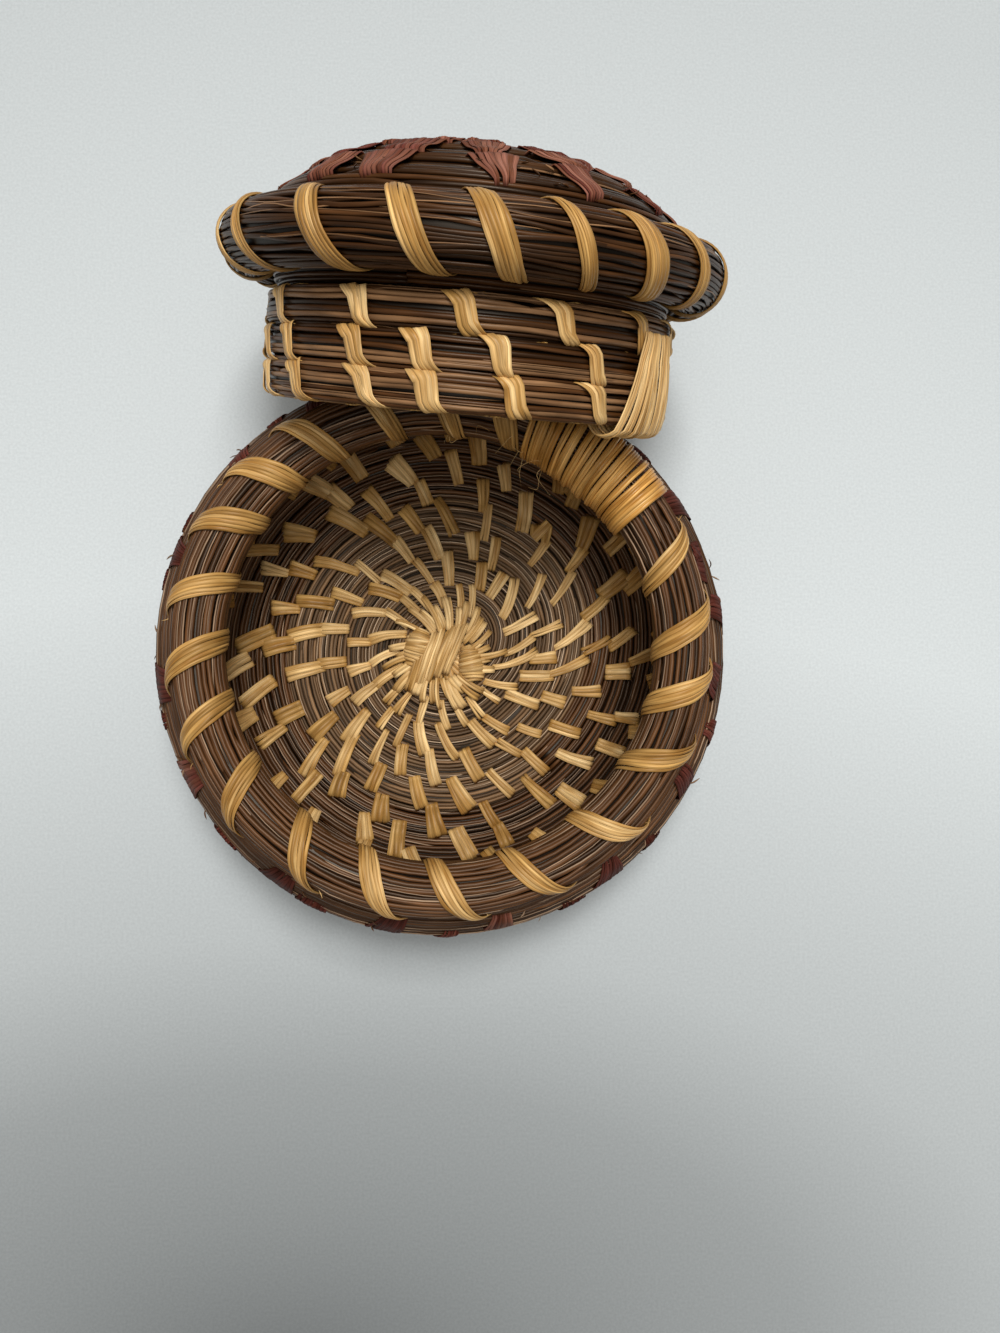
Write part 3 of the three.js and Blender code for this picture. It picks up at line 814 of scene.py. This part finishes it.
class BASKET_OT_wall_stitches(bpy.types.Operator):
    """Sew the upper wall with dyed raffia"""

    bl_idname = "basket.wall_stitches"
    bl_label = "Wall stitches"

    def execute(self, context):
        profile = wall_profile()
        rng = np.random.default_rng(22)
        pile = Pile()
        for number in range(OUTSIDE_RED, profile.rounds):
            lay_stitches(pile, profile, BASKET_SEAM, number, *RED_FANS, rng, False, 14, bands=8,
                         tints=(0.2, 0.85), fan=-0.25, crown=0.15)
            if number >= INSIDE_RED:
                lay_stitches(pile, profile, BASKET_SEAM, number, *RED_INSIDE, rng, True, 12, bands=4,
                             tints=(0.1, 0.6))
        place(pile, "wall_stitches", "basket", "raffia_red")
        return {"FINISHED"}


def wrap_line(radius, height, coil, angles, slide, lift=0.25):
    """Points round a thick coil: section angles in degrees, moved along the coil by slide in degrees."""
    turn = np.radians(angles)
    where = np.radians(slide)
    reach = coil + lift
    line = around(radius + reach * np.cos(turn), height + reach * np.sin(turn), where)
    out = around(np.cos(turn), np.sin(turn), where)
    return line, out


class BASKET_OT_rim_stitches(bpy.types.Operator):
    """Sew the rim with wide raffia stitches, broad at the mouth and pointed outside"""

    bl_idname = "basket.rim_stitches"
    bl_label = "Rim stitches"

    def execute(self, context):
        sizes = context.scene.basket_sizes
        radius, height = rim_line(wall_profile())
        rng = np.random.default_rng(23)
        pile = Pile()
        coil = RIM_COIL * sizes.fullness
        for middle in RIM_STITCHES:
            angles = np.linspace(*RIM_WRAP, 31)
            over = (180 - angles) / 180  # 0 at the mouth, 1 outside
            slant = RIM_SLANT * rng.uniform(0.88, 1.15)
            slide = middle + slant * (np.sign(over) * np.abs(over) ** 1.35 - 0.45) + rng.normal(0, 0.5)
            line, out = wrap_line(radius, height, coil, angles, slide, 0.02)
            taper = np.interp(over, *RIM_TAPER)
            # dim=0.55 darkens each stitch towards its ends: painted shade where it wraps under the coil
            lay_ribbon(pile, line, out, sizes.ribbon / MM * rng.uniform(0.88, 1.12) * taper, rng, bands=6,
                       split=0.35, crown=0.42, thick=0.14, spread=0.15, tint=rng.uniform(0.5, 0.82), dim=0.55,
                       twist=0.09)
        place(pile, "rim_stitches", "basket", "raffia_tan", "rim_lacing")
        return {"FINISHED"}


class BASKET_OT_rim_winding(bpy.types.Operator):
    """Wind golden raffia closely over the end of the rim coil"""

    bl_idname = "basket.rim_winding"
    bl_label = "Rim winding"

    def execute(self, context):
        sizes = context.scene.basket_sizes
        radius, height = rim_line(wall_profile())
        rng = np.random.default_rng(24)
        pile = Pile()
        coil = RIM_COIL * sizes.fullness
        for middle in np.linspace(*RIM_WINDING, RIM_WINDING_TURNS):
            share = np.linspace(-1, 1, 33)
            angles = 90 - share * RIM_WINDING_WRAP
            slide = middle + 1.7 * share + rng.normal(0, 0.22)
            bulge = 0.3 + 0.6 * math.sin(math.pi * (middle - 33) / 36) + rng.uniform(-0.1, 0.5)
            line, out = wrap_line(radius, height, coil, angles, slide, bulge)
            width = np.interp(middle, (34, 40), (1.8, 1.42)) * rng.uniform(0.85, 1.1)
            lay_ribbon(pile, line, out, width, rng, bands=2, thick=0.5, crown=0.3, spread=0.1,
                       tint=rng.uniform(0.6, 1.0), dim=0.4)
        place(pile, "rim_winding", "basket", "raffia_gold", "rim_end_winding")
        return {"FINISHED"}


class BASKET_OT_frays(bpy.types.Operator):
    """Leave loose fibres at the rim's winding, and short frayed ends round the wall and the dome"""

    bl_idname = "basket.frays"
    bl_label = "Frays"

    def execute(self, context):
        radius, height = rim_line(wall_profile())
        rng = np.random.default_rng(26)
        pile = Pile()
        for _ in range(LOOSE_FIBRES):
            where = math.radians(rng.uniform(36, 84))
            points = [around(radius - RIM_COIL * rng.uniform(0.7, 1.05), height + rng.uniform(-1, 2), where)]
            for _ in range(3):
                points.append(points[-1] + rng.normal(0, 1.5, 3) + np.array([-0.8, -1.2, 0.2]))
            lay_fibre(pile, points, rng.uniform(0.05, 0.08), 1.0)
        for middle in RIM_STITCHES[::2]:
            where = math.radians(middle + RIM_SLANT * 0.6)
            start = around(radius + RIM_COIL * 0.9, height + 1.5, where)
            way = around(rng.uniform(0.4, 1.2), rng.uniform(0.0, 1.0), where + rng.uniform(0.5, 1.2))
            points = [start, start + way * 0.9, start + way * 1.6 + rng.normal(0, 0.3, 3)]
            lay_fibre(pile, points, rng.uniform(0.06, 0.1), rng.uniform(0.7, 1.0))
        place(pile, "loose_fibres", "basket", "raffia_tan")
        pile = Pile()
        for _ in range(WALL_ENDS):
            bulge = math.radians(rng.uniform(-40, 62))
            proud = SHOULDER_RADIUS + BUNDLE_DEEP - 0.2
            r = BELLY_RADIUS - SHOULDER_RADIUS + proud * math.cos(bulge)
            z = BELLY_HEIGHT + proud * math.sin(bulge)
            lay_stub(pile, around(r, z, rng.uniform(0, TAU)), rng)
        place(pile, "wall_frays", "basket", "needles_brown")
        pile = Pile()
        dome = dome_profile()
        for _ in range(DOME_ENDS):
            share = 1 - 0.6 * rng.random() ** 2
            r, z, ahead_r, ahead_z = dome.at(np.array([share * dome.length]))
            where = rng.uniform(0, TAU)
            lift = BUNDLE_DEEP - 0.3
            lay_stub(pile, around(r[0] - ahead_z[0] * lift, z[0] + ahead_r[0] * lift, where), rng)
        place(pile, "dome_frays", "lid", "needles_dark")
        return {"FINISHED"}


def lay_stub(pile, start, rng):
    """Short cut end that stands off a winding along its round."""
    far = math.hypot(start[0], start[1])
    along = np.array([-start[1], start[0], 0]) / far * rng.choice((-1, 1))
    away = np.array([start[0], start[1], 0]) / far
    way = along * rng.uniform(0.8, 2.2) + away * rng.uniform(0.3, 1.0) + UP * rng.uniform(-0.3, 0.8)
    points = [start - away * 0.4, start + way * 0.5, start + way + rng.normal(0, 0.15, 3)]
    lay_fibre(pile, points, rng.uniform(0.1, 0.22), rng.uniform(0.4, 0.95))


def lay_lump(pile, centre, axis, length, girth, rng, turns=8):
    """Small lump wound with raffia about an axis that lies flat."""
    axis = np.array(axis, float) / np.linalg.norm(axis)
    across = np.cross(UP, axis)
    for number in range(turns):
        spot = ((number + 0.5) / turns - 0.5) * length
        swell = math.sqrt(max(0.15, 1 - (2 * spot / length) ** 2 * 0.8))
        turn = np.linspace(0, TAU * 1.02, 25)
        facing = across * np.cos(turn)[:, None] + UP * np.sin(turn)[:, None]
        line = (np.array(centre) + axis * (spot + 0.35 * np.sin(turn + number))[:, None]
                + facing * (girth * swell))
        lay_ribbon(pile, line, facing, 1.5, rng, bands=2, thick=0.22, crown=0.2, spread=0.15,
                   tint=rng.uniform(0.55, 0.95))


class BASKET_OT_start_knot(bpy.types.Operator):
    """Tie the start of the base: two wound lumps and the strands across them"""

    bl_idname = "basket.start_knot"
    bl_label = "Start knot"

    def execute(self, context):
        rng = np.random.default_rng(25)
        pile = Pile()
        for number in range(KNOT_SPOKES):
            angle = TAU * (number + rng.uniform(-0.35, 0.35)) / KNOT_SPOKES
            start, end = rng.uniform(*SPOKE_STARTS), rng.uniform(*SPOKE_ENDS)
            reach = np.linspace(start, end, 7)
            bend = angle + math.radians(SPOKE_BEND) * np.linspace(0, 1, 7)
            line = around(reach, 0 * reach + SPOKE_HEIGHT, bend)
            line[:, 2] += 0.5 * np.sin(np.linspace(0, math.pi, 7)) - 0.5 * (reach > end - 0.8)
            lay_ribbon(pile, line, UP, rng.uniform(1.1, 2.3), rng, bands=2,
                       thick=0.14, tint=rng.uniform(0.75, 1.0))
        for number in range(KNOT_PETALS):
            angle = TAU * number / KNOT_PETALS
            line = around(np.linspace(0.3, 7.2, 6), 4.4 + 0 * np.arange(6.0), angle + 0.3 * np.arange(6) / 6)
            lay_ribbon(pile, line, UP, 2.6, rng, bands=2, thick=0.7,
                       tint=rng.uniform(0.5, 0.9))
        for centre, axis, length, girth in KNOT_LUMPS:
            lay_lump(pile, centre, axis, length, girth, rng)
        for number in range(KNOT_STRANDS):
            shift = (number - KNOT_STRANDS // 2) * KNOT_STRAND_STEP
            a = np.array([-4.4 + shift, -6.6 + 0.5 * shift, 5.6])
            b = np.array([0.2 + shift * 1.1, 6.2 + 0.35 * shift, 5.6])
            share = np.linspace(0, 1, 13)[:, None]
            line = a + (b - a) * share + UP * (1.9 + 0.25 * (number % 2)) * np.sin(math.pi * share) ** 0.7
            lay_ribbon(pile, line, UP, rng.uniform(2.0, 2.6), rng, bands=3,
                       thick=0.2, tint=rng.uniform(0.72, 1.0), split=0.4)
        place(pile, "knot_raffia", "basket", "raffia_tan", "start_knot")
        return {"FINISHED"}


# Pieces of the lid, laid in the lid's own frame with the dome up

class BASKET_OT_lid_needles(bpy.types.Operator):
    """Lay the lid's needles: dome, rim and plug ring"""

    bl_idname = "basket.lid_needles"
    bl_label = "Lid needles"

    def execute(self, context):
        sizes = context.scene.basket_sizes
        needle = sizes.needle / MM
        dome = dome_profile()
        rng = np.random.default_rng(31)
        pile = Pile()
        lay_needles(pile, coil_of(dome, LID_SEAM, -CLIMB_SHARE, dome.rounds, True, True),
                    dome.pitch / 2 * PRESSED, BUNDLE_DEEP, needle, rng, pale=0.16)
        place(pile, "dome_needles", "lid", "needles_dark", "dome_coil")
        pile = Pile()
        whole = LID_COIL * sizes.fullness
        lay_needles(pile, rim_of(lid_radius(), 0, LID_SEAM), whole, whole, needle * 0.8, rng, pale=0.3,
                    square=1.0, reach=0.12)
        lay_needles(pile, seat_of(dome, LID_SEAM + 180), *SEAT_SIZE, needle, rng, pale=0.1)
        place(pile, "lid_rim_needles", "lid", "needles_dark", "lid_rim_coil")
        pile = Pile()
        radius, top = plug_line()
        plug = Profile([(radius, top), (radius, top - (PLUG_ROUNDS - 1) * PLUG_PITCH)], rounds=PLUG_ROUNDS)
        # shift lightens the plug ring's needles beyond the rest of the lid's: painted light on the ring's
        # face
        lay_needles(pile, coil_of(plug, PLUG_SEAM, -CLIMB_SHARE, PLUG_ROUNDS, True, True),
                    PLUG_PITCH / 2 * PRESSED, BUNDLE_DEEP, needle * 0.9, rng, pale=0.4, square=PLUG_SQUARE,
                    shift=0.26)
        joint = (top + PLUG_PITCH / 2 - LID_COIL / 3) / 2  # height of the ring between rim and plug ring
        lay_needles(pile, rim_of(radius - 0.4, joint, PLUG_SEAM + 180), -joint / 2, 2.2, needle * 0.9, rng,
                    pale=0.1)
        place(pile, "plug_needles", "lid", "needles_dark", "plug_coil")
        return {"FINISHED"}


class BASKET_OT_lid_rim_stitches(bpy.types.Operator):
    """Sew the lid's rim with wide raffia stitches"""

    bl_idname = "basket.lid_rim_stitches"
    bl_label = "Lid rim stitches"

    def execute(self, context):
        sizes = context.scene.basket_sizes
        rng = np.random.default_rng(32)
        pile = Pile()
        coil = LID_COIL * sizes.fullness
        for middle, width in LID_STITCHES + LID_HIDDEN_STITCHES:
            angles = np.linspace(*LID_WRAP, 31)
            slide = middle - LID_SLANT * angles / 180 + rng.normal(0, 0.4)
            line, out = wrap_line(lid_radius(), 0, coil, angles, slide, -0.05)
            taper = np.interp(angles, *LID_TAPER)
            lay_ribbon(pile, line, out, width * rng.uniform(0.95, 1.06) * taper, rng, bands=6, split=0.35,
                       crown=0.28, thick=0.16, spread=0.15, tint=rng.uniform(0.5, 0.82), dim=0.45, twist=0.06)
        place(pile, "lid_rim_stitches", "lid", "raffia_tan", "lid_rim_lacing")
        return {"FINISHED"}


class BASKET_OT_dome_stitches(bpy.types.Operator):
    """Sew the dome with dyed raffia in fans"""

    bl_idname = "basket.dome_stitches"
    bl_label = "Dome stitches"

    def execute(self, context):
        rng = np.random.default_rng(33)
        dome = dome_profile()
        pile = Pile()
        for number in range(dome.rounds):
            count, width = DOME_FANS[min(number, len(DOME_FANS) - 1)]
            # A winding from the top down has its outside where the basket's has its inside
            lay_stitches(pile, dome, LID_SEAM, number, count, width, rng, True, 6, bands=8, tints=(0.6, 1.0),
                         fan=-0.3, reach=0.52, middle_at=-0.38, stagger=0.0, crown=0.4)
            lay_stitches(pile, dome, LID_SEAM, number, count, 3, rng, False, 8, bands=4)
        place(pile, "dome_stitches", "lid", "raffia_red")
        pile = Pile()
        top = float(dome.points[0][1])
        for number in range(LID_KNOT_STRANDS):
            angle = TAU * number / LID_KNOT_STRANDS
            reach = np.linspace(0.2, LID_KNOT_RADIUS + 1.6, 9)
            line = around(reach, top + 2.4 - 0.05 * reach**2, angle + 0.5 * reach / 6)
            lay_ribbon(pile, line, UP, 1.9, rng, bands=2, thick=0.35)
            line = line * np.array([1, 1, -1]) + np.array([0, 0, 2 * top])
            lay_ribbon(pile, line, -UP, 1.9, rng, bands=2, thick=0.35)
        place(pile, "lid_knot_raffia", "lid", "raffia_red", "lid_start_knot")
        return {"FINISHED"}


class BASKET_OT_plug_stitches(bpy.types.Operator):
    """Sew the plug ring with raffia, and fan it over the end of the coil"""

    bl_idname = "basket.plug_stitches"
    bl_label = "Plug stitches"

    def execute(self, context):
        rng = np.random.default_rng(34)
        radius, top = plug_line()
        half = PLUG_PITCH / 2 * 1.04
        pile = Pile()
        for number, seen in enumerate(PLUG_STITCHES):
            hidden = np.arange(0, 360, PLUG_HIDDEN_STEP) + 4 * number
            room = [min(abs(m - s) for s in seen) > PLUG_STITCH_ROOM for m in hidden]
            for middle in (*seen, *hidden[room]):
                if number > 0 and PLUG_WINDING[0] - 3 < middle < PLUG_WINDING[1] + 3:
                    continue
                share = np.linspace(-1, 1, 17)
                for inside in (False, True):
                    turn = np.radians(180 + PLUG_WRAP * share if inside else -PLUG_WRAP * share)
                    slant = rng.uniform(3.6, 5.6)
                    across = (BUNDLE_DEEP + 0.14) * squared(np.cos(turn), PLUG_SQUARE)
                    rise = PLUG_PITCH / 2 * 1.03 * squared(np.sin(turn), PLUG_SQUARE)
                    forks = ((-1.1, 0.55), (1.1, 0.5)) if rng.random() < 0.4 and not inside else ((0, 1),)
                    for apart, part in forks:
                        lean = slant * (-share if inside else share)
                        where = np.radians(middle + lean + apart * (1 - share))
                        line = around(radius + across, top - number * PLUG_PITCH + rise, where)
                        out = around(np.cos(turn), np.sin(turn), where)
                        width = rng.uniform(3.2, 4.1) * part * (1 - 0.22 * share)
                        lay_ribbon(pile, line, out, width, rng, bands=4 if part == 1 else 2, split=0.4,
                                   crown=0.15, thick=0.13, tint=rng.uniform(0.75, 1.0), dim=0.3, twist=0.05)
        place(pile, "plug_stitches", "lid", "raffia_tan", "plug_lacing")
        pile = Pile()
        low = top - (PLUG_ROUNDS - 1) * PLUG_PITCH
        heart = sum(PLUG_WINDING) / 2
        for middle in np.linspace(PLUG_WINDING[0] + 2, PLUG_WINDING[1] - 2, PLUG_WINDING_TURNS):
            share = np.linspace(0, 1, 27)
            turn = np.radians(20 - 200 * share)
            height = np.maximum(low, top - 1 + (low - top) * smooth((share - 0.02) / 0.45))
            swell = 1.4 * np.sin(np.pi * np.clip((share - 0.15) / 0.6, 0, 1))
            reach = half + 0.4 + rng.uniform(0, 0.4) + swell
            spread = (middle - heart) * (0.5 + 0.75 * smooth(share / 0.5))
            where = np.radians(heart + 2 + spread + rng.normal(0, 0.6))
            line = around(radius + reach * np.cos(turn), height + reach * np.sin(turn), where)
            out = around(np.cos(turn), np.sin(turn), where)
            lay_ribbon(pile, line, out, 2.0 * (0.7 + 0.6 * share), rng, bands=3, crown=0.3, split=0.5,
                       tint=rng.uniform(0.8, 1.0), twist=0.1)
        place(pile, "plug_winding", "lid", "raffia_tan", "plug_end_winding")
        return {"FINISHED"}


class BASKET_OT_stage(bpy.types.Operator):
    """Set the floor with a painted shadow on its cloth, the light and the camera"""

    bl_idname = "basket.stage"
    bl_label = "Stage"

    def execute(self, context):
        scene = context.scene
        mesh = bpy.data.meshes.new("floor")
        far = FLOOR_REACH
        mesh.from_pydata([(-far, -far, 0), (far, -far, 0), (far, far, 0), (-far, far, 0)], [], [(0, 1, 2, 3)])
        floor = bpy.data.objects.new("floor", mesh)
        scene.collection.objects.link(floor)
        cloth = bpy.data.materials.new("floor_cloth")
        cloth.use_nodes = True
        tree = cloth.node_tree
        shader = tree.nodes["Principled BSDF"]
        place_on = tree.nodes.new("ShaderNodeTexCoord")
        flatter = node_of(tree, "ShaderNodeMapping", {"Location": PAINTED_SHADOW_MIDDLE, "Scale": PAINTED_SHADOW_SQUEEZE})
        reach = node_of(tree, "ShaderNodeVectorMath", operation="LENGTH")
        tree.links.new(place_on.outputs["Object"], flatter.inputs["Vector"])
        tree.links.new(flatter.outputs[0], reach.inputs[0])
        # Painted shadow: the cloth's colour is darkened round a spot in front of the basket
        painted_shadow = ramp(tree, reach.outputs["Value"], [(d, times(CLOTH, v)) for d, v in PAINTED_CLOTH_SHADOW])
        weave = node_of(tree, "ShaderNodeTexNoise", {"Scale": WEAVE})
        tree.links.new(place_on.outputs["Object"], weave.inputs["Vector"])
        threads = ramp(tree, weave.outputs["Fac"], [(0.3, (0.90,) * 3), (0.7, (1.0,) * 3)])
        tree.links.new(multiplied(tree, painted_shadow, threads), shader.inputs["Base Color"])
        set_inputs(shader, {"Roughness": 0.95, "Specular IOR Level": 0.1})
        floor.data.materials.append(cloth)
        world = bpy.data.worlds.new("room")
        world.use_nodes = True
        set_inputs(world.node_tree.nodes["Background"], {"Color": ROOM_COLOUR, "Strength": ROOM_LIGHT})
        scene.world = world
        for name, spot, size, power in LAMPS:
            lamp = bpy.data.lights.new(name, "AREA")
            lamp.size = size
            lamp.energy = power
            holder = bpy.data.objects.new(name, lamp)
            holder.location = spot
            holder.rotation_euler = (Vector(LAMP_AIM) - Vector(spot)).to_track_quat("-Z", "Y").to_euler()
            scene.collection.objects.link(holder)
        eye = bpy.data.cameras.new("camera")
        eye.sensor_fit = "VERTICAL"
        eye.sensor_height = SENSOR
        eye.lens = SENSOR * PHOTO_FOCUS / PHOTO_SIZE[1]
        eye.clip_start = 0.01
        camera = bpy.data.objects.new("camera", eye)
        camera.location = Vector(CAMERA_PLACE) * MM
        camera.rotation_euler = CAMERA_TURN
        scene.collection.objects.link(camera)
        scene.camera = camera
        scene.view_settings.view_transform = "Standard"
        return {"FINISHED"}


class BASKET_PT_panel(bpy.types.Panel):
    """Lists the sizes, the colours and the pieces"""

    bl_idname = "BASKET_PT_panel"
    bl_label = "Pine needle basket"
    bl_space_type = "VIEW_3D"
    bl_region_type = "UI"
    bl_category = "Basket"

    def draw(self, context):
        for group in (context.scene.basket_sizes, context.scene.basket_colours):
            for key in group.bl_rna.properties.keys():
                if key not in ("rna_type", "name"):
                    self.layout.prop(group, key)
        for step in STEPS:
            self.layout.operator(step.bl_idname)


STEPS = (BASKET_OT_stage, BASKET_OT_start_knot, BASKET_OT_basket_needles, BASKET_OT_base_stitches,
         BASKET_OT_wall_stitches, BASKET_OT_rim_stitches, BASKET_OT_rim_winding, BASKET_OT_frays,
         BASKET_OT_lid_needles, BASKET_OT_lid_rim_stitches, BASKET_OT_dome_stitches, BASKET_OT_plug_stitches)
CLASSES = (BasketSizes, BasketColours, *STEPS, BASKET_PT_panel)


def register():
    for kind in CLASSES:
        bpy.utils.register_class(kind)
    bpy.types.Scene.basket_sizes = bpy.props.PointerProperty(type=BasketSizes)
    bpy.types.Scene.basket_colours = bpy.props.PointerProperty(type=BasketColours)


def unregister():
    del bpy.types.Scene.basket_colours
    del bpy.types.Scene.basket_sizes
    for kind in reversed(CLASSES):
        bpy.utils.unregister_class(kind)


def main():
    register()
    for step in STEPS:
        group, name = step.bl_idname.split(".")
        getattr(getattr(bpy.ops, group), name)()


if __name__ == "__main__":
    main()
